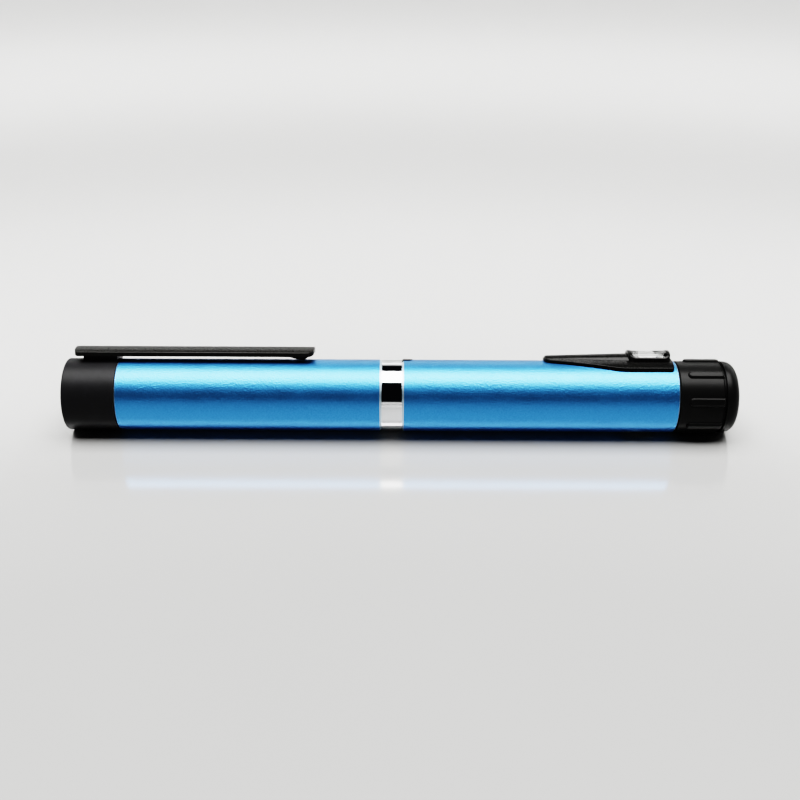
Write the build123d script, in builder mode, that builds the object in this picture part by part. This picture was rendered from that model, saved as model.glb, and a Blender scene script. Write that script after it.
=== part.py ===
"""A pen-type pocket ophthalmoscope: a battery handle, an illuminating head and a lens dial.

The barrel lies along X with its tail at -X. The origin is on the surface that it rests on, under
its middle. It rests on two of the dial's ribs, so its clip and view housing lean back by half
the angle between two ribs. Everything is drawn in the leaning frame given by the planes plan,
side and cross.
"""
from build123d import *
from math import asin, cos, degrees, radians, sin, sqrt
import os

os.makedirs("parts", exist_ok=True)

# Barrel and its stations along it
barrel_radius = 8.25
tail_end = -76.4
cap_joint = -64.5
ring_start = -4.3
ring_end = 0.55
head_tube_end = 63.15
dial_start = 63.25
dial_end = 73.2
disc_start = 73.7
head_end = 77.2
running_gap = 0.05
edge_bevel = 0.3

# Dial
rib_count = 8
rib_radius = 8.72
rib_width = 1.9
rib_start = 65.1
rib_round = 0.5

# Bores
battery_bore = 6.0
optics_bore = 7.1
coupling_radius = 7.0
spigot_radius = 6.5
cap_bore = 5.0

# The leaning frame
lean = 180 / rib_count
middle = (tail_end + head_end) / 2
rib_corner = rib_width / 2 - rib_round
axis_height = (
    rib_corner * sin(radians(lean)) + (rib_radius - rib_round) * cos(radians(lean)) + rib_round
)
plan = Plane(
    origin=(-middle, 0, axis_height),
    x_dir=(1, 0, 0),
    z_dir=(0, sin(radians(lean)), cos(radians(lean))),
)
side = Plane(origin=plan.origin, x_dir=plan.x_dir, z_dir=-plan.y_dir)
cross = Plane(origin=plan.origin, x_dir=plan.y_dir, z_dir=plan.x_dir)
barrel = Axis(plan.origin, plan.x_dir)


def turned(*points, mode=Mode.ADD):
    """Turns a closed half-profile of (station, radius) points about the barrel."""
    with BuildSketch(side) as profile:
        with BuildLine():
            Polyline(*points, close=True)
        make_face()
    revolve(profile.sketch, axis=barrel, mode=mode)


def sleeve(start, end, outer, inner=0.0, mode=Mode.ADD):
    """A round disc, or a tube where inner is given, from station start to station end."""
    with BuildSketch(cross.offset(start)) as ring:
        Circle(outer)
        if inner:
            Circle(inner, mode=Mode.SUBTRACT)
    extrude(ring.sketch, amount=end - start, mode=mode)


def radial(angle):
    """The plan plane turned about the barrel by an angle in degrees."""
    up = plan.z_dir * cos(radians(angle)) + plan.y_dir * sin(radians(angle))
    return Plane(origin=plan.origin, x_dir=plan.x_dir, z_dir=up)


def from_axis(point):
    """Distance of a point from the barrel's axis."""
    return (point - plan.origin).cross(plan.x_dir).length


def outer_rim(piece, end):
    """The largest circle at one end of a piece: end 0 is the tail side and -1 the head side."""
    circles = piece.edges().filter_by(GeomType.CIRCLE)
    return circles.group_by(Axis.X)[end].sort_by(SortBy.RADIUS)[-1]


def dome(vertex, height, edge_radius):
    """A spherical crown's half-profile, from its edge to its vertex on the barrel's axis."""
    ball = (edge_radius**2 + height**2) / (2 * height)
    CenterArc((vertex - ball, 0), ball, 0, degrees(asin(edge_radius / ball)))


def coil(start, length, turns, coil_radius, wire_radius, cone=0.0):
    """A round-wire spring from a station, whose coil radius changes by cone degrees."""
    with BuildLine() as path:
        Helix(
            pitch=length / turns,
            height=length,
            radius=coil_radius,
            center=(plan.origin + plan.x_dir * start),
            direction=plan.x_dir,
            cone_angle=cone,
        )
    spiral = path.wires()[0]
    with BuildSketch(Plane(origin=spiral @ 0, z_dir=spiral % 0)) as wire:
        Circle(wire_radius)
    sweep(wire.sketch, path=spiral)


# ---- Tail: cap, switch and seal ----

end_wall = 2.0
button_radius = 4.1
button_hole = button_radius + 0.1
button_travel = 1.2
button_recess = 0.1
button_round = 0.3
flange_radius = 4.8
flange_thickness = 0.8
spigot_end = -58.2
cavity_start = tail_end + end_wall
flange_start = cavity_start + 0.1
flange_end = flange_start + flange_thickness
seal_station = -62.9
seal_wire = 0.42
seal_groove = 5.66
thread_first = -61.6
thread_pitch = 0.6
thread_depth = 0.3
thread_turns = 5
clip_screw_stations = (-70.6, -67.2)
clip_screw_radius = 0.6
clip_screw_head = 1.1
screw_head_base = 5.1
screw_head_top = 5.8
screw_top = 9.2

with BuildPart() as tail_cap:
    turned(
        (tail_end, button_hole),
        (tail_end, barrel_radius),
        (cap_joint, barrel_radius),
        (cap_joint, spigot_radius),
        (spigot_end, spigot_radius),
        (spigot_end, cap_bore),
        (cavity_start, cap_bore),
        (cavity_start, button_hole),
    )
    fillet(outer_rim(tail_cap, 0), 0.35)
    sleeve(seal_station - 0.5, seal_station + 0.5, spigot_radius + 1, seal_groove, Mode.SUBTRACT)
    for turn in range(thread_turns):
        station = thread_first + turn * thread_pitch
        turned(
            (station - thread_pitch / 2, spigot_radius + 0.01),
            (station, spigot_radius - thread_depth),
            (station + thread_pitch / 2, spigot_radius + 0.01),
            mode=Mode.SUBTRACT,
        )
    with BuildSketch(plan):
        with Locations(*[(station, 0) for station in clip_screw_stations]):
            Circle(clip_screw_radius)
    extrude(amount=barrel_radius + 1, mode=Mode.SUBTRACT)
    with BuildSketch(plan):
        with Locations(*[(station, 0) for station in clip_screw_stations]):
            Circle(clip_screw_head)
    extrude(amount=screw_head_top, mode=Mode.SUBTRACT)
tail_cap.part.label = "tail_cap"

with BuildPart() as tail_seal:
    with BuildSketch(side):
        with Locations((seal_station, seal_groove + seal_wire)):
            Circle(seal_wire)
    revolve(axis=barrel)
tail_seal.part.label = "tail_seal"

with BuildPart() as tail_button:
    button_face = tail_end + button_recess
    turned(
        (button_face, 0),
        (button_face, button_radius - button_round),
        (button_face + button_round, button_radius),
        (flange_start, button_radius),
        (flange_start, flange_radius),
        (flange_end, flange_radius),
        (flange_end, 0),
    )
tail_button.part.label = "tail_button"

switch_start = -71.2
switch_end = -64.2
plunger_radius = 1.2
plunger_end = -69.6
plunger_hole_end = -68.0

with BuildPart() as switch_plunger:
    sleeve(flange_end, plunger_end, plunger_radius)
    fillet(outer_rim(switch_plunger, -1), 0.3)
switch_plunger.part.label = "switch_plunger"

with BuildPart() as switch_body:
    sleeve(switch_start, switch_end, cap_bore)
    sleeve(switch_start, plunger_hole_end, plunger_radius + running_gap, mode=Mode.SUBTRACT)
    chamfer(outer_rim(switch_body, 0), 0.4)
switch_body.part.label = "switch_body"

spring_wire = 0.2
spring_room = switch_start - flange_end

with BuildPart() as switch_return_spring:
    coil(flange_end + spring_wire + 0.02, spring_room - 2 * spring_wire - 0.04, 2.5, 2.4, spring_wire)
switch_return_spring.part.label = "switch_return_spring"

retainer_end = -62.6

with BuildPart() as switch_retainer:
    sleeve(switch_end, retainer_end, cap_bore, 2.2)
switch_retainer.part.label = "switch_retainer"

# ---- Batteries and their sleeve ----

battery_radius = 5.25
battery_length = 44.5
nub_radius = 1.9
nub_length = 1.0
battery_tail = -57.6
battery_middle = battery_tail + battery_length
battery_head = battery_middle + battery_length
contact_wire = 0.3

with BuildPart() as tail_contact_spring:
    contact_room = battery_tail - retainer_end
    coil(retainer_end + contact_wire, contact_room - 2 * contact_wire - 0.1, 3.5, 3.4, contact_wire, -18)
tail_contact_spring.part.label = "tail_contact_spring"


def draw_battery(start):
    """A cylindrical cell with its positive nub towards the head."""
    shoulder = start + battery_length - nub_length
    turned(
        (start, 0),
        (start, battery_radius - 0.4),
        (start + 0.4, battery_radius),
        (shoulder - 0.4, battery_radius),
        (shoulder, battery_radius - 0.4),
        (shoulder, nub_radius),
        (shoulder + nub_length, nub_radius),
        (shoulder + nub_length, 0),
    )


with BuildPart() as battery_rear:
    draw_battery(battery_tail)
battery_rear.part.label = "battery_rear"

with BuildPart() as battery_front:
    draw_battery(battery_middle)
battery_front.part.label = "battery_front"

with BuildPart() as battery_sleeve:
    sleeve(-56.8, 31.2, battery_bore - 0.05, battery_radius + 0.2)
battery_sleeve.part.label = "battery_sleeve"

# ---- Handle tube, ring and coupling ----

spigot_bore_end = -57.0
coupling_start = -12.0
coupling_end = 8.0

with BuildPart() as handle_tube:
    turned(
        (cap_joint, spigot_radius + running_gap),
        (cap_joint, barrel_radius),
        (ring_start, barrel_radius),
        (ring_start, coupling_radius),
        (coupling_start, coupling_radius),
        (coupling_start, battery_bore),
        (spigot_bore_end, battery_bore),
        (spigot_bore_end, spigot_radius + running_gap),
    )
    chamfer([outer_rim(handle_tube, 0), outer_rim(handle_tube, -1)], edge_bevel)
handle_tube.part.label = "handle_tube"

with BuildPart() as coupling:
    sleeve(coupling_start, coupling_end, coupling_radius, battery_bore)
coupling.part.label = "coupling"

with BuildPart() as chrome_ring:
    sleeve(ring_start, ring_end, barrel_radius - 0.04, coupling_radius)
    chamfer([outer_rim(chrome_ring, 0), outer_rim(chrome_ring, -1)], edge_bevel / 2)
chrome_ring.part.label = "chrome_ring"

# ---- Pocket clip ----

clip_start = -74.25
clip_tip = -19.7
clip_half_width = 3.5
clip_top = 11.15
clip_edge_top = 10.1
clip_under = 10.1
clip_edge_under = 9.15
post_start = -72.3
post_end = -64.6
post_half_width = 2.6
bump_start = -25.6
bump_flat_start = -22.8
bump_flat_end = -21.9
bump_end = -20.9
bump_bottom = barrel_radius + 0.2
bump_half_width = 2.9


def arch_radius(top, edge, half_width):
    """Radius of an arch that falls from top to edge over its half width."""
    rise = top - edge
    return (half_width**2 + rise**2) / (2 * rise)


under_radius = arch_radius(clip_under, clip_edge_under, clip_half_width)
under_centre = clip_under - under_radius
bump_root = clip_under + 0.3

with BuildPart() as pocket_clip:
    with BuildSketch(cross.offset(clip_start)):
        with BuildLine():
            ThreePointArc((-clip_half_width, clip_edge_top), (0, clip_top), (clip_half_width, clip_edge_top))
            Line((clip_half_width, clip_edge_top), (clip_half_width, clip_edge_under))
            ThreePointArc(
                (clip_half_width, clip_edge_under), (0, clip_under), (-clip_half_width, clip_edge_under)
            )
            Line((-clip_half_width, clip_edge_under), (-clip_half_width, clip_edge_top))
        make_face()
    extrude(amount=clip_tip - clip_start)
    long_edges = pocket_clip.edges().filter_by(Axis.X)
    fillet(long_edges.group_by(Axis(plan.origin, plan.z_dir))[-1], 0.2)
    with BuildSketch(side):
        with BuildLine():
            Polyline(
                (bump_start, bump_root),
                (bump_start, clip_edge_under),
                (bump_flat_start, bump_bottom),
                (bump_flat_end, bump_bottom),
                (bump_end, clip_edge_under),
                (bump_end, bump_root),
                close=True,
            )
        make_face()
    extrude(amount=bump_half_width, both=True)
    with BuildSketch(plan.offset(barrel_radius)):
        with BuildLine():
            FilletPolyline(
                (clip_start, -clip_half_width),
                (clip_tip, -clip_half_width),
                (clip_tip, clip_half_width),
                (clip_start, clip_half_width),
                radius=[1.0, 1.4, 1.4, 1.0],
                close=True,
            )
        make_face()
    extrude(amount=clip_top - barrel_radius + 1, mode=Mode.INTERSECT)
pocket_clip.part.label = "pocket_clip"

with BuildPart() as clip_post:
    with BuildSketch(cross.offset(post_start)):
        with Locations((0, under_centre)):
            Circle(under_radius - running_gap)
        with Locations((0, clip_under)):
            Rectangle(2 * post_half_width, 2 * (clip_under - barrel_radius + 1), mode=Mode.INTERSECT)
        Circle(barrel_radius, mode=Mode.SUBTRACT)
    extrude(amount=post_end - post_start)
    with BuildSketch(plan):
        with Locations(*[(station, 0) for station in clip_screw_stations]):
            Circle(clip_screw_radius)
    extrude(amount=screw_top, mode=Mode.SUBTRACT)
clip_post.part.label = "clip_post"

with BuildPart() as clip_screws:
    with BuildSketch(plan.offset(screw_head_base)):
        with Locations(*[(station, 0) for station in clip_screw_stations]):
            Circle(clip_screw_head)
    extrude(amount=screw_head_top - screw_head_base)
    with BuildSketch(plan.offset(screw_head_top)):
        with Locations(*[(station, 0) for station in clip_screw_stations]):
            Circle(clip_screw_radius)
    extrude(amount=screw_top - screw_head_top)
clip_screws.part.label = "clip_screws"

# ---- Head tube and its openings ----

optics_start = 31.9
sight_station = 56.65
sight_hole_radius = 2.1
skirt_radius = 3.0
light_station = 53.2
port_station = 55.2
port_length = 8.4
port_width = 4.6
port_rim = 0.7
index_width = 2.3
index_length = 2.3

with BuildPart() as head_tube:
    turned(
        (ring_end, coupling_radius),
        (ring_end, barrel_radius),
        (head_tube_end, barrel_radius),
        (head_tube_end, optics_bore),
        (optics_start, optics_bore),
        (optics_start, battery_bore),
        (coupling_end, battery_bore),
        (coupling_end, coupling_radius),
    )
    chamfer([outer_rim(head_tube, 0), outer_rim(head_tube, -1)], edge_bevel)
    with BuildSketch(plan):
        with Locations((sight_station, 0)):
            Circle(skirt_radius)
    extrude(amount=barrel_radius + 1, mode=Mode.SUBTRACT)
    with BuildSketch(plan):
        with Locations((port_station, 0)):
            SlotOverall(port_length, port_width)
    extrude(amount=-barrel_radius - 1, mode=Mode.SUBTRACT)
    with BuildSketch(plan):
        with Locations((ring_end, 0)):
            SlotOverall(2 * index_length, index_width)
    extrude(amount=barrel_radius + 1, mode=Mode.SUBTRACT)
head_tube.part.label = "head_tube"

with BuildPart() as index_insert:
    sleeve(ring_end, ring_end + index_length, barrel_radius + 0.15, coupling_radius)
    with BuildSketch(plan):
        with Locations((ring_end, 0)):
            SlotOverall(2 * index_length, index_width)
    extrude(amount=barrel_radius + 1, mode=Mode.INTERSECT)
index_insert.part.label = "index_insert"

# ---- View housing, bezel and window ----

housing_tip = 32.9
housing_end = 62.2
housing_half_width = 5.35
housing_tip_half = 2.2
housing_shoulder = 50.0
housing_skin = 0.75
hump_tip_half = 1.8
hump_end_half = 2.95
hump_tip_top = 9.45
hump_end_top = 10.3
hump_tip_round = 0.55
hump_foot = barrel_radius + 0.3
bezel_station = sight_station + 0.3
bezel_length = 9.6
bezel_width = 6.8
bezel_corner = 1.5
bezel_top = 10.8
bezel_arch = 4.4
bezel_round = 0.25
window_length = 8.1
window_width = 6.3
window_corner = 1.1
window_sink = 0.12
window_seat = 8.7
bezel_seat = barrel_radius + running_gap
skirt_bottom = 6.9

hump_start = housing_tip + 0.2
hump_end = bezel_station + bezel_length / 2 - 0.5
lip_round = 0.2


def trim_to_outline():
    """Keeps what lies in the housing's outline: a narrow tip that widens to a straight part."""
    with BuildSketch(plan) as outline:
        with BuildLine():
            FilletPolyline(
                (housing_end, -housing_half_width),
                (housing_end, housing_half_width),
                (housing_shoulder, housing_half_width),
                (housing_tip, housing_tip_half),
                (housing_tip, -housing_tip_half),
                (housing_shoulder, -housing_half_width),
                radius=[0.8, 0.8, 20, 2.1, 2.1, 20],
                close=True,
            )
        make_face()
    extrude(outline.sketch, amount=bezel_top + 1, mode=Mode.INTERSECT)


with BuildPart() as hump:
    for station, half, top in (
        (hump_start, hump_tip_half, hump_tip_top),
        (hump_end, hump_end_half, hump_end_top),
    ):
        with BuildSketch(cross.offset(station)):
            with BuildLine():
                ThreePointArc((-half, hump_foot), (0, top), (half, hump_foot))
                Line((half, hump_foot), (-half, hump_foot))
            make_face()
    loft()
    arches = hump.edges().filter_by(GeomType.LINE, reverse=True)
    fillet(arches.group_by(Axis.X)[0], hump_tip_round)
    trim_to_outline()

with BuildPart() as view_housing:
    sleeve(housing_tip, housing_end, barrel_radius + housing_skin, barrel_radius)
    trim_to_outline()
    lip = view_housing.edges().filter_by(
        lambda edge: from_axis(edge @ 0.5) > barrel_radius + housing_skin - 0.01
    )
    fillet(lip, lip_round)
    add(hump.part)
    with BuildSketch(plan.offset(skirt_bottom)):
        with Locations((sight_station, 0)):
            Circle(skirt_radius - running_gap)
    extrude(amount=bezel_seat - skirt_bottom)
    with BuildSketch(plan.offset(bezel_seat)):
        with Locations((bezel_station, 0)):
            RectangleRounded(bezel_length, bezel_width, bezel_corner)
    extrude(amount=bezel_top, mode=Mode.SUBTRACT)
    with BuildSketch(plan):
        with Locations((sight_station, 0)):
            Circle(sight_hole_radius)
    extrude(amount=bezel_top, mode=Mode.SUBTRACT)
view_housing.part.label = "view_housing"

with BuildPart() as window_bezel:
    with BuildSketch(cross.offset(sight_station - bezel_length)):
        with Locations((0, bezel_top - bezel_arch)):
            Circle(bezel_arch)
    extrude(amount=2 * bezel_length)
    with BuildSketch(plan.offset(bezel_seat)):
        with Locations((bezel_station, 0)):
            RectangleRounded(bezel_length, bezel_width, bezel_corner)
    extrude(amount=bezel_top - bezel_seat + 1, mode=Mode.INTERSECT)
    crest = window_bezel.faces().filter_by(GeomType.CYLINDER).sort_by(SortBy.AREA)[-1]
    fillet(crest.outer_wire().edges(), bezel_round)
    with BuildSketch(plan.offset(window_seat)):
        with Locations((bezel_station, 0)):
            RectangleRounded(window_length, window_width, window_corner)
    extrude(amount=bezel_top, mode=Mode.SUBTRACT)
    with BuildSketch(plan):
        with Locations((sight_station, 0)):
            Circle(sight_hole_radius)
    extrude(amount=bezel_top, mode=Mode.SUBTRACT)
window_bezel.part.label = "window_bezel"

with BuildPart() as window_lens:
    with BuildSketch(cross.offset(sight_station - bezel_length)):
        with Locations((0, bezel_top - bezel_arch)):
            Circle(bezel_arch - window_sink)
    extrude(amount=2 * bezel_length)
    with BuildSketch(plan.offset(window_seat)):
        with Locations((bezel_station, 0)):
            RectangleRounded(window_length, window_width, window_corner)
    extrude(amount=bezel_top - window_seat + 1, mode=Mode.INTERSECT)
window_lens.part.label = "window_lens"

# ---- Patient-side port, opposite the view housing ----

port_inner = optics_bore
port_glass_inner = 7.3
port_glass_outer = 7.8

with BuildPart() as port_frame:
    sleeve(port_station - port_length, port_station + port_length, barrel_radius, port_inner)
    with BuildSketch(plan):
        with Locations((port_station, 0)):
            SlotOverall(port_length, port_width)
            SlotOverall(port_length - 2 * port_rim, port_width - 2 * port_rim, mode=Mode.SUBTRACT)
    extrude(amount=-barrel_radius - 1, mode=Mode.INTERSECT)
port_frame.part.label = "port_frame"

with BuildPart() as port_window:
    sleeve(port_station - port_length, port_station + port_length, port_glass_outer, port_glass_inner)
    with BuildSketch(plan):
        with Locations((port_station, 0)):
            SlotOverall(port_length - 2 * port_rim, port_width - 2 * port_rim)
    extrude(amount=-barrel_radius - 1, mode=Mode.INTERSECT)
port_window.part.label = "port_window"

# ---- Light source ----

board_start = 32.0
board_thickness = 1.0
board_end = board_start + board_thickness
holder_start = 35.6
holder_end = 38.5
led_board_thickness = 0.8
led_pocket = 5.1
wire_radius = 0.3
wire_offset = 4.0
led_side = 3.4
led_base = 0.5
led_dome = 1.3

with BuildPart() as front_contact:
    turned(
        (battery_head, 0),
        (battery_head, 2.0),
        (battery_head + 0.3, 2.8),
        (board_start, 2.8),
        (board_start, 0),
    )
front_contact.part.label = "front_contact"

with BuildPart() as driver_board:
    sleeve(board_start, board_end, optics_bore - 0.1)
driver_board.part.label = "driver_board"

with BuildPart() as board_parts:
    with BuildSketch(cross.offset(board_end)):
        Rectangle(3.0, 2.6)
        with Locations((-3.2, 3.0), (3.2, 3.0)):
            Rectangle(1.6, 0.9)
        with Locations((0, -3.6)):
            Rectangle(2.4, 1.4)
    extrude(amount=1.2)
board_parts.part.label = "board_parts"

with BuildPart() as board_spacer:
    sleeve(board_end, holder_start, optics_bore, optics_bore - 0.9)
board_spacer.part.label = "board_spacer"

with BuildPart() as led_holder:
    sleeve(holder_start, holder_end, optics_bore)
    sleeve(holder_end - led_board_thickness, holder_end, led_pocket, mode=Mode.SUBTRACT)
    with BuildSketch(cross.offset(holder_start)):
        with Locations((-wire_offset, 0), (wire_offset, 0)):
            Circle(wire_radius + running_gap)
    extrude(amount=holder_end - holder_start, mode=Mode.SUBTRACT)
led_holder.part.label = "led_holder"

with BuildPart() as lead_wires:
    with BuildSketch(cross.offset(board_end)):
        with Locations((-wire_offset, 0), (wire_offset, 0)):
            Circle(wire_radius)
    extrude(amount=holder_end - led_board_thickness - board_end)
lead_wires.part.label = "lead_wires"

with BuildPart() as led_board:
    sleeve(holder_end - led_board_thickness, holder_end, led_pocket)
led_board.part.label = "led_board"

with BuildPart() as led:
    with BuildSketch(cross.offset(holder_end)):
        Rectangle(led_side, led_side)
    extrude(amount=led_base)
    with BuildSketch(side):
        with BuildLine():
            CenterArc((holder_end + led_base, 0), led_dome, 0, 90)
            Line((holder_end + led_base, led_dome), (holder_end + led_base, 0))
            Line((holder_end + led_base, 0), (holder_end + led_base + led_dome, 0))
        make_face()
    revolve(axis=barrel)
led.part.label = "led"

# ---- Lens barrel ----

barrel_end = 49.2
condenser_station = 41.6
condenser_radius = 5.2
condenser_edge = 0.8
condenser_apex = 2.6
stop_radius = 4.0
aperture_station = 45.4
aperture_thickness = 0.3
aperture_hole = 0.9
projector_radius = 4.6
projector_station = 46.5
projector_edge = 0.7
projector_apex = 1.8

with BuildPart() as lens_barrel:
    turned(
        (holder_end, led_pocket),
        (holder_end, optics_bore),
        (barrel_end, optics_bore),
        (barrel_end, projector_radius),
        (aperture_station, projector_radius),
        (aperture_station, stop_radius),
        (condenser_station + condenser_edge, stop_radius),
        (condenser_station + condenser_edge, condenser_radius),
        (condenser_station, condenser_radius),
        (condenser_station, led_pocket),
    )
lens_barrel.part.label = "lens_barrel"


def draw_lens(station, radius, edge, apex, crown_radius):
    """A plano-convex lens: flat at the station, a cylindrical edge, then a crown towards the head."""
    with BuildSketch(side) as profile:
        with BuildLine():
            Polyline((station, 0), (station, radius), (station + edge, radius))
            Line((station + edge, radius), (station + edge, crown_radius))
            dome(station + apex, apex - edge, crown_radius)
            Line((station + apex, 0), (station, 0))
        make_face()
    revolve(profile.sketch, axis=barrel)


with BuildPart() as condenser_lens:
    draw_lens(condenser_station, condenser_radius, condenser_edge, condenser_apex, stop_radius - 0.1)
condenser_lens.part.label = "condenser_lens"

with BuildPart() as aperture_disc:
    sleeve(aperture_station, aperture_station + aperture_thickness, projector_radius, aperture_hole)
aperture_disc.part.label = "aperture_disc"

with BuildPart() as lens_spacer:
    sleeve(aperture_station + aperture_thickness, projector_station, projector_radius, stop_radius - 0.4)
lens_spacer.part.label = "lens_spacer"

with BuildPart() as projector_lens:
    draw_lens(projector_station, projector_radius, projector_edge, projector_apex, stop_radius - 0.2)
projector_lens.part.label = "projector_lens"

# ---- Optics frame, mirror and spindle ----

frame_ring_end = 50.6
frame_beam = 2.4
rail_inner = 4.4
rail_outer = 5.3
rail_half_height = 1.2
frame_disc_start = 61.6
frame_disc_end = 62.8
spindle_radius = 1.2
spindle_end = 74.8
mirror_length = 3.0
mirror_width = 4.0
mirror_thickness = 0.6
mirror_back = mirror_thickness * sqrt(2)
block_start = 52.6
block_end = 54.5
block_top = 1.9

with BuildPart() as optics_frame:
    sleeve(barrel_end, frame_ring_end, optics_bore, frame_beam)
    sleeve(frame_disc_start, frame_disc_end, rail_outer)
    with BuildSketch(cross.offset(frame_ring_end)):
        for across in (-1, 1):
            with Locations((across * (rail_inner + rail_outer) / 2, 0)):
                Rectangle(rail_outer - rail_inner, 2 * rail_half_height)
    extrude(amount=frame_disc_start - frame_ring_end)
    sleeve(frame_disc_start, frame_disc_end, spindle_radius, mode=Mode.SUBTRACT)
optics_frame.part.label = "optics_frame"

with BuildPart() as mirror_block:
    back_sum = light_station + mirror_back
    with BuildSketch(side):
        with BuildLine():
            Polyline(
                (block_start, back_sum - block_start),
                (block_end, back_sum - block_end),
                (block_end, block_top),
                (block_start, block_top),
                close=True,
            )
        make_face()
    extrude(amount=rail_inner, both=True)
mirror_block.part.label = "mirror_block"

with BuildPart() as mirror:
    facing = (plan.x_dir + plan.z_dir).normalized()
    front = Plane(
        origin=plan.origin + plan.x_dir * light_station, x_dir=plan.y_dir, z_dir=facing
    )
    with BuildSketch(front):
        Rectangle(mirror_width, mirror_length)
    extrude(amount=mirror_thickness)
mirror.part.label = "mirror"

with BuildPart() as spindle:
    sleeve(frame_disc_start, spindle_end, spindle_radius)
spindle.part.label = "spindle"

# ---- Lens drum ----

drum_start = 51.0
drum_outer = 6.5
drum_inner = 5.6
drum_wall_start = 64.0
drum_end = 65.4
drum_hole = 2.0
light_hole = 1.1
lens_positions = (1, 2, 3)
lens_crowns = (0.06, 0.1, 0.14)
lens_seat = 5.75
lens_edge = 0.4
dimple_ring = 4.6
dimple_radius = 0.45
dimple_depth = 0.4
dial_screw_ring = 3.1
dial_screw_radius = 0.6
dial_screw_end = 64.4
step = 360 / rib_count

with BuildPart() as lens_drum:
    sleeve(drum_start, drum_end, drum_outer, drum_inner)
    sleeve(drum_wall_start, drum_end, drum_outer, spindle_radius + running_gap)
    for position in range(rib_count):
        with BuildSketch(radial(position * step)):
            with Locations((sight_station, 0)):
                Circle(drum_hole)
            with Locations((light_station, 0)):
                Circle(light_hole)
        extrude(amount=drum_outer + 1, mode=Mode.SUBTRACT)
    with BuildSketch(cross.offset(drum_wall_start)):
        with PolarLocations(dimple_ring, rib_count):
            Circle(dimple_radius)
    extrude(amount=dimple_depth, mode=Mode.SUBTRACT)
    with BuildSketch(cross.offset(dial_screw_end)):
        with PolarLocations(dial_screw_ring, 3, start_angle=90):
            Circle(dial_screw_radius)
    extrude(amount=drum_end - dial_screw_end, mode=Mode.SUBTRACT)
lens_drum.part.label = "lens_drum"


def draw_drum_lens(angle, crown):
    """A small biconvex lens seated in one of the drum's holes."""
    seat = radial(angle)
    sight = Axis(plan.origin + plan.x_dir * sight_station, seat.z_dir)
    lengthwise = Plane(origin=sight.position, x_dir=plan.x_dir, z_dir=-seat.y_dir)
    with BuildSketch(lengthwise) as profile:
        with BuildLine():
            ball = (drum_hole**2 + crown**2) / (2 * crown)
            swing = degrees(asin(drum_hole / ball))
            top = lens_seat + lens_edge
            CenterArc((0, top + crown - ball), ball, 90 - swing, swing)
            Line((0, top + crown), (0, lens_seat - crown))
            CenterArc((0, lens_seat - crown + ball), ball, 270, swing)
            Line((drum_hole, lens_seat), (drum_hole, top))
        make_face()
    revolve(profile.sketch, axis=sight)


drum_lenses = []
for position, crown in zip(lens_positions, lens_crowns):
    with BuildPart() as drum_lens:
        draw_drum_lens(position * step, crown)
    drum_lens.part.label = f"drum_lens_{position}"
    drum_lenses.append(drum_lens)

with BuildPart() as drum_bush:
    sleeve(59.9, 62.7, optics_bore, drum_outer + running_gap)
drum_bush.part.label = "drum_bush"

detent_thickness = 0.2
nub_reach = drum_wall_start + dimple_depth - 0.1
detent_nub_radius = dimple_radius - 0.1

with BuildPart() as detent_spring:
    sleeve(frame_disc_end, frame_disc_end + detent_thickness, rail_outer, spindle_radius + running_gap)
    with BuildSketch(cross.offset(frame_disc_end + detent_thickness)):
        with Locations((-dimple_ring, 0), (dimple_ring, 0)):
            Circle(detent_nub_radius)
    extrude(amount=nub_reach - frame_disc_end - detent_thickness)
detent_spring.part.label = "detent_spring"

# ---- Dial ring and end cap ----

web_end = 67.4
web_hole = 2.2
dial_bore = 6.6
screw_head_radius = 1.0
screw_head_depth = 0.6
rib_base = 7.0

with BuildPart() as dial_ring:
    turned(
        (dial_start, drum_outer),
        (dial_start, barrel_radius),
        (dial_end, barrel_radius),
        (dial_end, dial_bore),
        (web_end, dial_bore),
        (web_end, web_hole),
        (drum_end, web_hole),
        (drum_end, drum_outer),
    )
    chamfer(outer_rim(dial_ring, 0), 0.15)
    chamfer(outer_rim(dial_ring, -1), 0.3)
    for position in range(rib_count):
        seat = radial(position * step)
        with BuildSketch(seat.offset(rib_base)):
            with BuildLine():
                FilletPolyline(
                    (rib_start, -rib_width / 2),
                    (dial_end, -rib_width / 2),
                    (dial_end, rib_width / 2),
                    (rib_start, rib_width / 2),
                    radius=[rib_width / 2 - 0.05, 0.05, 0.05, rib_width / 2 - 0.05],
                    close=True,
                )
            make_face()
        extrude(amount=rib_radius - rib_base)
        crest = dial_ring.faces().sort_by(Axis(seat.origin, seat.z_dir))[-1]
        fillet(crest.edges(), rib_round)
    with BuildSketch(cross.offset(drum_end)):
        with PolarLocations(dial_screw_ring, 3, start_angle=90):
            Circle(dial_screw_radius)
    extrude(amount=web_end - drum_end, mode=Mode.SUBTRACT)
    with BuildSketch(cross.offset(web_end - screw_head_depth)):
        with PolarLocations(dial_screw_ring, 3, start_angle=90):
            Circle(screw_head_radius)
    extrude(amount=screw_head_depth, mode=Mode.SUBTRACT)
dial_ring.part.label = "dial_ring"

with BuildPart() as dial_screws:
    with BuildSketch(cross.offset(dial_screw_end)):
        with PolarLocations(dial_screw_ring, 3, start_angle=90):
            Circle(dial_screw_radius)
    extrude(amount=web_end - screw_head_depth - dial_screw_end)
    with BuildSketch(cross.offset(web_end - screw_head_depth)):
        with PolarLocations(dial_screw_ring, 3, start_angle=90):
            Circle(screw_head_radius)
    extrude(amount=screw_head_depth)
dial_screws.part.label = "dial_screws"

washer_start = web_end + running_gap
washer_end = washer_start + 0.5

with BuildPart() as thrust_washer:
    sleeve(washer_start, washer_end, 4.4, spindle_radius)
thrust_washer.part.label = "thrust_washer"

neck_start = dial_end + 0.1
neck_radius = 7.6
boss_radius = 6.3
disc_round = 2.6
disc_crown = 0.28

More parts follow.
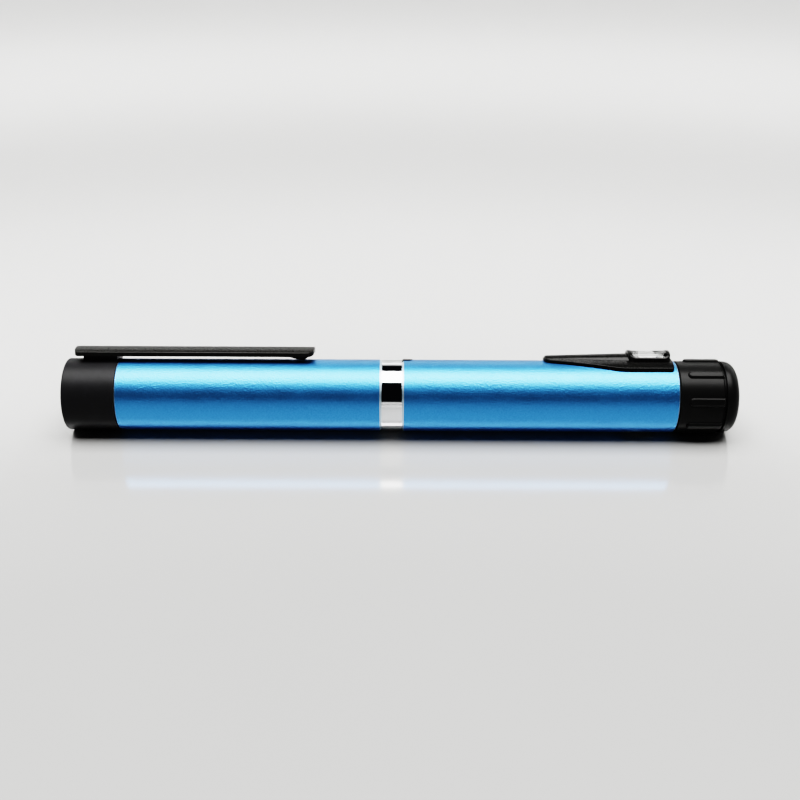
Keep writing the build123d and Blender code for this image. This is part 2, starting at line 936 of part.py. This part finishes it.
with BuildPart() as end_cap:
    turned(
        (washer_end, spindle_radius),
        (washer_end, boss_radius),
        (neck_start, boss_radius),
        (neck_start, neck_radius),
        (disc_start, neck_radius),
        (disc_start, spindle_radius),
    )
    crown_edge = head_end - disc_crown
    with BuildSketch(side):
        with BuildLine():
            Polyline((disc_start, 0), (disc_start, barrel_radius), (crown_edge - disc_round, barrel_radius))
            CenterArc((crown_edge - disc_round, barrel_radius - disc_round), disc_round, 0, 90)
            dome(head_end, disc_crown, barrel_radius - disc_round)
            Line((head_end, 0), (disc_start, 0))
        make_face()
    revolve(axis=barrel)
    sleeve(washer_end, spindle_end, spindle_radius, mode=Mode.SUBTRACT)
end_cap.part.label = "end_cap"

for piece in (
    tail_cap,
    tail_seal,
    tail_button,
    switch_plunger,
    switch_body,
    switch_return_spring,
    switch_retainer,
    tail_contact_spring,
    battery_rear,
    battery_front,
    battery_sleeve,
    handle_tube,
    coupling,
    chrome_ring,
    pocket_clip,
    clip_post,
    clip_screws,
    head_tube,
    index_insert,
    view_housing,
    window_bezel,
    window_lens,
    port_frame,
    port_window,
    front_contact,
    driver_board,
    board_parts,
    board_spacer,
    led_holder,
    lead_wires,
    led_board,
    led,
    lens_barrel,
    condenser_lens,
    aperture_disc,
    lens_spacer,
    projector_lens,
    optics_frame,
    mirror_block,
    mirror,
    spindle,
    lens_drum,
    *drum_lenses,
    drum_bush,
    detent_spring,
    dial_ring,
    dial_screws,
    thrust_washer,
    end_cap,
):
    export_step(piece.part, f"parts/{piece.part.label}.step")
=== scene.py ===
"""The looks of a pen-type pocket ophthalmoscope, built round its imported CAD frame.

All lengths are in metres, in the frame's own axes: the barrel lies along X and Z is up.
"""
from math import cos, pi, radians, sin

import bpy
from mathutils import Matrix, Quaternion, Vector


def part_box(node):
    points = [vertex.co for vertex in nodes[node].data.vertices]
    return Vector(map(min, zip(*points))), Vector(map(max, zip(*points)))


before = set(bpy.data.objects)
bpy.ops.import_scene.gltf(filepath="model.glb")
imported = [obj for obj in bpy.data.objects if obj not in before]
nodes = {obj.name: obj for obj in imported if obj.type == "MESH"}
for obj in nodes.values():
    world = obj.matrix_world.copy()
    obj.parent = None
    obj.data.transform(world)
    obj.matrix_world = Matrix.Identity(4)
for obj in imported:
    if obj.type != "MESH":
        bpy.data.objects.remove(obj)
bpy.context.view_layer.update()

MM = 0.001


def middle(name):
    """The centre of a CAD node's box."""
    low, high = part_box(name)
    return (Vector(low) + Vector(high)) / 2


barrel_axis = middle("handle_tube")

# ---- Node helpers ----


class Graph:
    """A material's node tree, with short ways to add what the materials here share."""

    def __init__(self, name):
        self.material = bpy.data.materials.new(name)
        self.material.use_nodes = True
        self.tree = self.material.node_tree
        self.shader = self.tree.nodes["Principled BSDF"]
        self.coords = None

    def add(self, kind, **settings):
        node = self.tree.nodes.new(kind)
        for key, value in settings.items():
            setattr(node, key, value)
        return node

    def link(self, source, target):
        self.tree.links.new(source, target)

    def set(self, **values):
        """Constants on the shader's own sockets: underscores in the names stand for spaces."""
        for key, value in values.items():
            self.shader.inputs[key.replace("_", " ")].default_value = value

    def position(self, stretch=(1, 1, 1)):
        """Object coordinates in metres, scaled along each axis."""
        if self.coords is None:
            self.coords = self.add("ShaderNodeTexCoord")
        mapping = self.add("ShaderNodeMapping")
        mapping.inputs["Scale"].default_value = stretch
        self.link(self.coords.outputs["Object"], mapping.inputs["Vector"])
        return mapping.outputs["Vector"]

    def noise(self, feature, detail=2.0, rough=0.5, stretch=(1, 1, 1)):
        """Noise whose features are about one feature across, in metres."""
        texture = self.add("ShaderNodeTexNoise")
        texture.inputs["Scale"].default_value = 1 / feature
        texture.inputs["Detail"].default_value = detail
        texture.inputs["Roughness"].default_value = rough
        self.link(self.position(stretch), texture.inputs["Vector"])
        return texture.outputs["Fac"]

    def remap(self, value, low, high, out_low, out_high):
        """Maps a value's range onto another, clamped."""
        node = self.add("ShaderNodeMapRange")
        for key, number in zip(
            ("From Min", "From Max", "To Min", "To Max"), (low, high, out_low, out_high)
        ):
            node.inputs[key].default_value = number
        self.link(value, node.inputs["Value"])
        return node.outputs["Result"]

    def blend(self, factor, first, second):
        """A colour between two colours or colour sockets."""
        node = self.add("ShaderNodeMix", data_type="RGBA")
        self.link(factor, node.inputs["Factor"])
        for socket, value in zip(("A", "B"), (first, second)):
            target = [i for i in node.inputs if i.name == socket and i.type == "RGBA"][0]
            if isinstance(value, tuple):
                target.default_value = (*value, 1)
            else:
                self.link(value, target)
        return [o for o in node.outputs if o.type == "RGBA"][0]

    def bump(self, height, distance, strength=1.0):
        node = self.add("ShaderNodeBump")
        node.inputs["Distance"].default_value = distance
        node.inputs["Strength"].default_value = strength
        self.link(height, node.inputs["Height"])
        return node.outputs["Normal"]

    def to(self, socket, value):
        self.link(value, self.shader.inputs[socket])


def dress(material, *names):
    """Gives CAD nodes a finished material."""
    for name in names:
        slots = nodes[name].data.materials
        slots.clear()
        slots.append(material)


# ---- Materials ----


def end_mask(g, ends, width):
    """One within a width of the given places along X, and zero elsewhere."""
    split = g.add("ShaderNodeSeparateXYZ")
    g.link(g.position(), split.inputs["Vector"])
    mask = None
    for end in ends:
        near = g.add("ShaderNodeMath", operation="COMPARE")
        g.link(split.outputs["X"], near.inputs[0])
        near.inputs[1].default_value = end
        near.inputs[2].default_value = width
        if mask is None:
            mask = near.outputs[0]
        else:
            both = g.add("ShaderNodeMath", operation="MAXIMUM")
            g.link(mask, both.inputs[0])
            g.link(near.outputs[0], both.inputs[1])
            mask = both.outputs[0]
    return mask


bare_aluminium = (0.72, 0.86, 0.95)
blast_depth = 0.06 * MM


def blasted_anodised(name, dark, light, roughness, grain, ends, bevel):
    """Bead-blasted, dyed aluminium whose machined bevels are bright bare metal."""
    g = Graph(name)
    fine = g.noise(grain * MM, 1.0, 0.5)
    coarse = g.noise(grain * 14 * MM, 2.0)
    speckle = g.remap(fine, 0.25, 0.75, 0, 1)
    dyed = g.blend(speckle, dark, light)
    bare = end_mask(g, ends, bevel)
    g.to("Base Color", g.blend(bare, dyed, bare_aluminium))
    g.set(Metallic=1.0, Coat_Weight=0.5, Coat_Roughness=0.36, Coat_IOR=1.5)
    g.to("Roughness", g.remap(coarse, 0.3, 0.7, roughness - 0.02, roughness + 0.02))
    grainy = g.bump(fine, blast_depth)
    g.to("Normal", grainy)
    g.to("Coat Normal", grainy)
    return g.material


def satin_black(name, colour, worn, roughness, grain, depth, specular=0.2):
    """Satin black with a fine texture and slightly paler rubbed patches."""
    g = Graph(name)
    fine = g.noise(grain * MM, 3.0, 0.55)
    cloud = g.noise(6 * MM, 3.0, 0.6)
    rubbed = g.remap(cloud, 0.5, 0.75, 0, 1)
    g.to("Base Color", g.blend(rubbed, colour, worn))
    g.set(Specular_IOR_Level=specular)
    g.to("Roughness", g.remap(fine, 0.3, 0.7, roughness - 0.05, roughness + 0.06))
    g.to("Normal", g.bump(fine, depth * MM, 0.5))
    return g.material


bevel_width = 0.31 * MM
tube_ends = [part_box(tube)[side][0] for tube in ("handle_tube", "head_tube") for side in (0, 1)]
blue = blasted_anodised(
    "blue_anodised", (0.04, 0.24, 0.58), (0.062, 0.295, 0.67), 0.38, 0.36, tube_ends, bevel_width
)
dress(blue, "handle_tube", "head_tube")
cap_black = satin_black(
    "black_anodised", (0.013, 0.013, 0.014), (0.017, 0.017, 0.019), 0.42, 0.25, 0.004, 0.14
)
dress(cap_black, "tail_cap", "clip_post")
dial_black = satin_black(
    "dial_plastic", (0.007, 0.007, 0.007), (0.01, 0.01, 0.01), 0.34, 0.2, 0.003, 0.13
)
dress(dial_black, "dial_ring", "end_cap")
clip_black = satin_black(
    "clip_enamel", (0.008, 0.008, 0.0075), (0.012, 0.012, 0.011), 0.3, 0.3, 0.002, 0.25
)
dress(clip_black, "pocket_clip")
moulded_black = satin_black(
    "moulded_plastic", (0.004, 0.004, 0.004), (0.007, 0.007, 0.006), 0.27, 0.2, 0.0015
)
dress(moulded_black, "view_housing", "window_bezel", "index_insert", "port_frame")
inner_black = satin_black("inner_plastic", (0.012, 0.012, 0.012), (0.02, 0.02, 0.02), 0.5, 0.3, 0.01)
dress(
    inner_black,
    "lens_barrel", "lens_drum", "mirror_block", "lens_spacer", "aperture_disc",
    "board_spacer", "switch_body", "switch_plunger", "optics_frame", "led_holder",
)
rubber = satin_black("rubber", (0.012, 0.012, 0.012), (0.03, 0.03, 0.03), 0.7, 0.15, 0.02)
dress(rubber, "tail_seal", "tail_button")


def turned_metal(name, colour, tint, roughness, ring_width):
    """Turned or polished metal with fine rings round the barrel's axis."""
    g = Graph(name)
    rings = g.noise(ring_width * MM, 2.0, 0.5, (1, 0.02, 0.02))
    cloud = g.noise(4 * MM, 2.0)
    g.to("Base Color", g.blend(g.remap(cloud, 0.35, 0.7, 0, 1), colour, tint))
    g.set(Metallic=1.0)
    g.to("Roughness", g.remap(cloud, 0.3, 0.7, roughness * 0.8, roughness * 1.3))
    g.to("Normal", g.bump(rings, 0.002 * MM, 0.25))
    return g.material


chrome = turned_metal("chrome", (0.86, 0.87, 0.88), (0.82, 0.83, 0.85), 0.035, 0.6)
dress(chrome, "chrome_ring")
dress(
    turned_metal("steel", (0.58, 0.58, 0.57), (0.5, 0.5, 0.5), 0.28, 0.15),
    "spindle", "clip_screws", "dial_screws", "switch_return_spring", "detent_spring",
)
dress(
    turned_metal("gold_contact", (0.83, 0.63, 0.3), (0.76, 0.56, 0.26), 0.22, 0.2),
    "switch_retainer", "tail_contact_spring", "front_contact",
)
dress(turned_metal("bare_aluminium", (0.78, 0.78, 0.79), (0.7, 0.7, 0.72), 0.25, 0.12), "coupling")
dress(turned_metal("front_mirror", (0.93, 0.93, 0.94), (0.9, 0.9, 0.92), 0.02, 1.0), "mirror")


def clear(name, tint, roughness, ior):
    """Clear glass or acrylic with the faintest ripple and wiped smears."""
    g = Graph(name)
    ripple = g.noise(3 * MM, 2.0)
    smear = g.noise(1.2 * MM, 4.0, 0.6, (0.4, 1, 1))
    g.set(Base_Color=(*tint, 1), Transmission_Weight=1.0, IOR=ior)
    g.to("Roughness", g.remap(smear, 0.35, 0.75, roughness, roughness + 0.05))
    g.to("Normal", g.bump(ripple, 0.004 * MM, 0.2))
    return g.material


window_clear = clear("window_clear", (0.97, 0.98, 0.98), 0.01, 1.49)
dress(window_clear, "window_lens", "port_window")
dress(
    clear("optical_glass", (0.96, 0.98, 1.0), 0.0, 1.52),
    "condenser_lens", "projector_lens", "drum_lens_1", "drum_lens_2", "drum_lens_3",
)


def plain_plastic(name, colour, tint, roughness, grain):
    """Moulded plastic with a faint mottle."""
    g = Graph(name)
    mottle = g.noise(grain * MM, 3.0, 0.55)
    g.to("Base Color", g.blend(g.remap(mottle, 0.35, 0.65, 0, 1), colour, tint))
    g.to("Roughness", g.remap(mottle, 0.3, 0.7, roughness - 0.06, roughness + 0.06))
    g.to("Normal", g.bump(mottle, 0.008 * MM, 0.3))
    return g.material


dress(plain_plastic("battery_liner", (0.8, 0.8, 0.78), (0.74, 0.74, 0.71), 0.3, 2.0), "battery_sleeve")
dress(
    plain_plastic("white_ptfe", (0.82, 0.82, 0.8), (0.76, 0.76, 0.74), 0.45, 1.0),
    "drum_bush", "thrust_washer",
)
dress(
    plain_plastic("circuit_board", (0.02, 0.14, 0.06), (0.04, 0.22, 0.1), 0.35, 0.8),
    "driver_board", "led_board",
)
dress(plain_plastic("chip", (0.02, 0.02, 0.02), (0.05, 0.05, 0.05), 0.5, 0.2), "board_parts")
dress(plain_plastic("wire", (0.5, 0.03, 0.02), (0.42, 0.02, 0.02), 0.4, 0.5), "lead_wires")
dress(plain_plastic("led_emitter", (0.85, 0.7, 0.25), (0.8, 0.62, 0.15), 0.25, 0.4), "led")


def battery_wrap(name):
    """A plain cell: dark wrap with a copper-coloured band at its positive end."""
    g = Graph(name)
    split = g.add("ShaderNodeSeparateXYZ")
    g.link(g.position(), split.inputs["Vector"])
    rear_low, rear_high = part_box("battery_rear")
    cell = rear_high[0] - rear_low[0]
    along = g.add("ShaderNodeMath", operation="SUBTRACT")
    g.link(split.outputs["X"], along.inputs[0])
    along.inputs[1].default_value = rear_low[0]
    wrapped = g.add("ShaderNodeMath", operation="WRAP")
    g.link(along.outputs[0], wrapped.inputs[0])
    wrapped.inputs[1].default_value = cell
    wrapped.inputs[2].default_value = 0
    band = g.remap(wrapped.outputs[0], 0.72 * cell, 0.725 * cell, 0, 1)
    g.to("Base Color", g.blend(band, (0.03, 0.032, 0.036), (0.62, 0.36, 0.18)))
    g.set(Metallic=0.6)
    scuff = g.noise(1.5 * MM, 3.0, 0.6, (0.3, 1, 1))
    g.to("Roughness", g.remap(scuff, 0.35, 0.7, 0.22, 0.4))
    g.to("Normal", g.bump(scuff, 0.004 * MM, 0.3))
    return g.material


dress(battery_wrap("battery_wrap"), "battery_rear", "battery_front")

# ---- Floor: a pale round board whose rim curves up into a wall ----

floor_radius = 1.6
sweep_radius = 0.7
wall_top = 1.9
low_rise = 0.2
hub_radius = 0.02
sweep_steps = 16
sweep_sides = 96


def make_sweep():
    """A flat disc with a curved rise round it, which is a tall wall behind and low elsewhere."""
    outline = [(hub_radius, 0.0), (floor_radius / 2, 0.0)]
    for step in range(sweep_steps + 1):
        turn = radians(90 * step / sweep_steps)
        outline.append((floor_radius + sweep_radius * sin(turn), sweep_radius * (1 - cos(turn))))
    outline.append((floor_radius + sweep_radius, wall_top))
    points = [(0, 0, 0)]
    for radius, height in outline:
        for side in range(sweep_sides):
            turn = 2 * pi * side / sweep_sides
            rise = low_rise + (1 - low_rise) * max(0, sin(turn)) ** 0.5
            points.append((radius * cos(turn), radius * sin(turn), height * rise))
    faces = [(0, 1 + side, 1 + (side + 1) % sweep_sides) for side in range(sweep_sides)]
    for ring in range(len(outline) - 1):
        first = 1 + ring * sweep_sides
        for side in range(sweep_sides):
            after = (side + 1) % sweep_sides
            faces.append(
                (first + side, first + sweep_sides + side, first + sweep_sides + after, first + after)
            )
    mesh = bpy.data.meshes.new("floor")
    mesh.from_pydata(points, [], faces)
    for face in mesh.polygons:
        face.use_smooth = True
    floor = bpy.data.objects.new("floor", mesh)
    bpy.context.collection.objects.link(floor)
    return floor


floor = make_sweep()
g = Graph("pale_board")
mottle = g.noise(0.08, 3.0, 0.5)
g.to("Base Color", g.blend(mottle, (0.40, 0.40, 0.398), (0.42, 0.42, 0.418)))
g.set(Roughness=0.13, IOR=2.1, Specular_IOR_Level=0.75)
g.to("Normal", g.bump(g.noise(0.6 * MM, 3.0), 0.004 * MM, 0.2))
floor.data.materials.append(g.material)

# ---- Light: one large softbox overhead, slightly behind ----

softbox_height = 2.2
softbox_front = -0.32 * softbox_height
softbox_back = 0.44 * softbox_height
softbox_width = 1.25 * softbox_height
softbox_radiance = 7.0

softbox_depth = softbox_back - softbox_front
lamp = bpy.data.lights.new("softbox", "AREA")
lamp.shape = "RECTANGLE"
lamp.size = softbox_width
lamp.size_y = softbox_depth
lamp.energy = softbox_radiance * pi * softbox_width * softbox_depth
lamp.color = (1.0, 0.995, 0.98)
softbox = bpy.data.objects.new("softbox", lamp)
softbox.location = (0, (softbox_front + softbox_back) / 2, softbox_height)
bpy.context.collection.objects.link(softbox)

world = bpy.data.worlds.new("studio")
world.use_nodes = True
world.node_tree.nodes["Background"].inputs["Color"].default_value = (0.004, 0.004, 0.005, 1)
world.node_tree.nodes["Background"].inputs["Strength"].default_value = 1.0
bpy.context.scene.world = world
view = bpy.context.scene.view_settings
view.view_transform = "Filmic"
view.look = "Very High Contrast"
view.exposure = 0.44

# ---- Camera ----

camera_elevation = radians(31.5)
camera_roll = radians(0.28)
camera_distance = 0.264
camera_drop = 0.00113
camera_aside = -0.0004
sensor_width = 36.0
focal_ratio = 1.4238

camera_data = bpy.data.cameras.new("camera")
camera_data.sensor_width = sensor_width
camera_data.lens = sensor_width * focal_ratio
camera_data.clip_start = 0.01
camera_data.clip_end = 20
camera = bpy.data.objects.new("camera", camera_data)
backwards = Vector((0, -cos(camera_elevation), sin(camera_elevation)))
upwards = Vector((0, sin(camera_elevation), cos(camera_elevation)))
camera.rotation_mode = "QUATERNION"
roll = Quaternion((0, 0, 1), camera_roll)
camera.rotation_quaternion = (-backwards).to_track_quat("-Z", "Y") @ roll
target = Vector((camera_aside, barrel_axis.y, barrel_axis.z))
camera.location = target + backwards * camera_distance - upwards * camera_drop
bpy.context.collection.objects.link(camera)
bpy.context.scene.camera = camera
